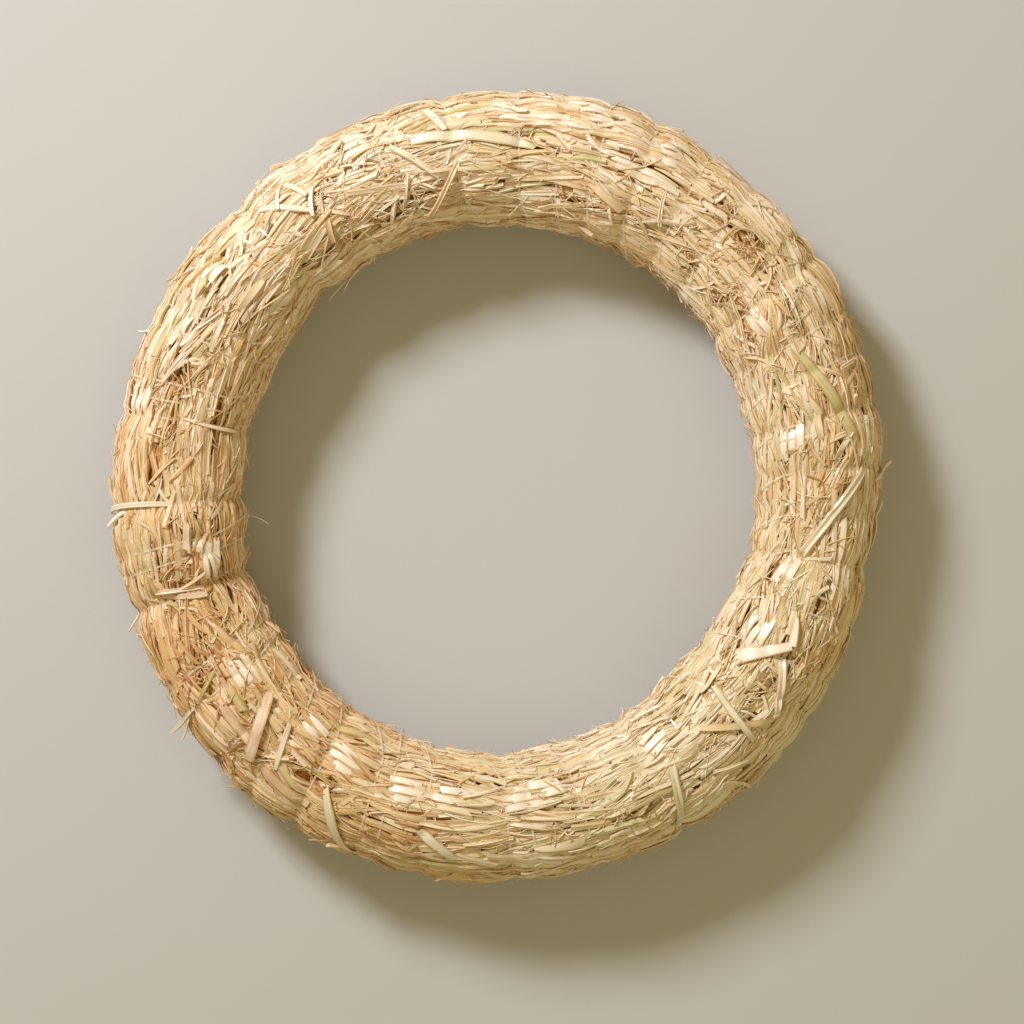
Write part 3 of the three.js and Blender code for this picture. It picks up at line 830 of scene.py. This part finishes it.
# Where the thread's two ends meet, inside the ring: an overhand knot, and the end left over that sticks out.
def makeKnot(material):
    angle = angleAfterTurn(thread["knotTurn"], 0.5)
    heart = onRing(angle, math.pi, thread["height"] + 0.5 * mm)
    inward = -np.array([math.cos(angle), math.sin(angle), 0])
    beside = np.array([-math.sin(angle), math.cos(angle), 0])
    up = np.array([0, 0, 1.0])
    s = np.linspace(0.15, 2 * math.pi - 0.15, 60)[:, None]
    size = thread["knotWidth"] / 6
    loop = (np.sin(s) + 2 * np.sin(2 * s)) * beside + (np.cos(s) - 2 * np.cos(2 * s)) * up
    loop = loop + np.sin(3 * s) * inward
    centre = heart + loop * size
    outward = np.tile(inward, (len(s), 1)) + 0.3 * loop
    section = fibreSection(thread["tailWidth"])
    addThread("threadKnot", "thread_knot", centre, outward, section, np.ones(len(s)), material)
    s = np.linspace(0, 1, 24)[:, None]
    curve = inward * (0.92 * s) + up * (0.25 * s - 0.12 * s ** 2) + beside * (0.5 * s ** 2)
    centre = heart + curve * thread["tail"]
    outward = np.tile(up, (len(s), 1))
    addThread("threadEnd", "thread_end", centre, outward, section, 1 - 0.4 * s[:, 0], material)


stage = {"reach": 3.0, "colour": (0.55, 0.56, 0.58), "roughness": 0.8}


def makeStage():
    mesh = bpy.data.meshes.new("floor")
    reach = stage["reach"]
    corners = [(-reach, -reach, 0), (reach, -reach, 0), (reach, reach, 0), (-reach, reach, 0)]
    mesh.from_pydata(corners, [], [(0, 1, 2, 3)])
    look = {"Base Color": (*stage["colour"], 1), "Roughness": stage["roughness"]}
    mesh.materials.append(Shader("paleFloor").finish(look))
    floor = bpy.data.objects.new("floor", mesh)
    bpy.context.scene.collection.objects.link(floor)


def aimAt(thing, target):
    thing.rotation_euler = (Vector(target) - thing.location).to_track_quat("-Z", "Y").to_euler()


lamps = {
    "key": {"place": (-0.81, 0.98, 1.05), "size": 0.36, "power": 25.4, "colour": (1, 0.975, 0.96)},
    "fill": {"place": (0.7, -0.9, 1.4), "size": 1.6, "power": 4.6, "colour": (1, 0.84, 0.52)},
}


def makeLights():
    for name, facts in lamps.items():
        light = bpy.data.lights.new(name, "AREA")
        light.energy = facts["power"]
        light.size = facts["size"]
        light.color = facts["colour"]
        lamp = bpy.data.objects.new(name, light)
        lamp.location = facts["place"]
        aimAt(lamp, (0, 0, 0.02))
        bpy.context.scene.collection.objects.link(lamp)


room = {"glow": (1, 0.81, 0.38), "glowStrength": 0.34, "backdrop": (0.56, 0.55, 0.52)}


# The room lights the ring with a warm glow, and looks pale itself beyond the floor.
def makeRoom():
    world = bpy.data.worlds.new("room")
    world.use_nodes = True
    tree = world.node_tree
    glow = tree.nodes["Background"]
    glow.inputs["Color"].default_value = (*room["glow"], 1)
    glow.inputs["Strength"].default_value = room["glowStrength"]
    backdrop = tree.nodes.new("ShaderNodeBackground")
    backdrop.inputs["Color"].default_value = (*room["backdrop"], 1)
    path = tree.nodes.new("ShaderNodeLightPath")
    both = tree.nodes.new("ShaderNodeMixShader")
    tree.links.new(path.outputs["Is Camera Ray"], both.inputs[0])
    tree.links.new(glow.outputs[0], both.inputs[1])
    tree.links.new(backdrop.outputs[0], both.inputs[2])
    tree.links.new(both.outputs[0], tree.nodes["World Output"].inputs["Surface"])
    bpy.context.scene.world = world


view = {"place": (0.0062, -0.0093), "height": 1.125, "lens": 100, "sensor": 36}


def makeCamera():
    data = bpy.data.cameras.new("camera")
    data.lens = view["lens"]
    data.sensor_width = view["sensor"]
    camera = bpy.data.objects.new("camera", data)
    camera.location = (*view["place"], view["height"])
    bpy.context.scene.collection.objects.link(camera)
    bpy.context.scene.camera = camera


makeStage()
makeLights()
makeRoom()
makeCamera()
bpy.context.scene.view_settings.view_transform = "Standard"
print("stage ready")

straw = strawMaterial("straw", strawLook)
leaf = strawMaterial("dryLeaf", {**strawLook, **leafLook})
stalk = strawMaterial("splitStalk", {**strawLook, **stalkLook})
makeHeart(heartMaterial(heartShadeLook))
handfuls = len(turnAngles) // ring["turnsPerHandful"]
total = 0
for index in range(handfuls):
    total += makeHandful(index, straw)
print("straw laid:", handfuls, "handfuls,", total, "faces")
makeOverlays(leaf, stalk)
makeFoldedLeaf(leaf)
makeStrays(straw)
print("leaves and stalks placed")
clearThread = threadMaterial()
makeThread(clearThread)
makeKnot(clearThread)
print("thread wound")
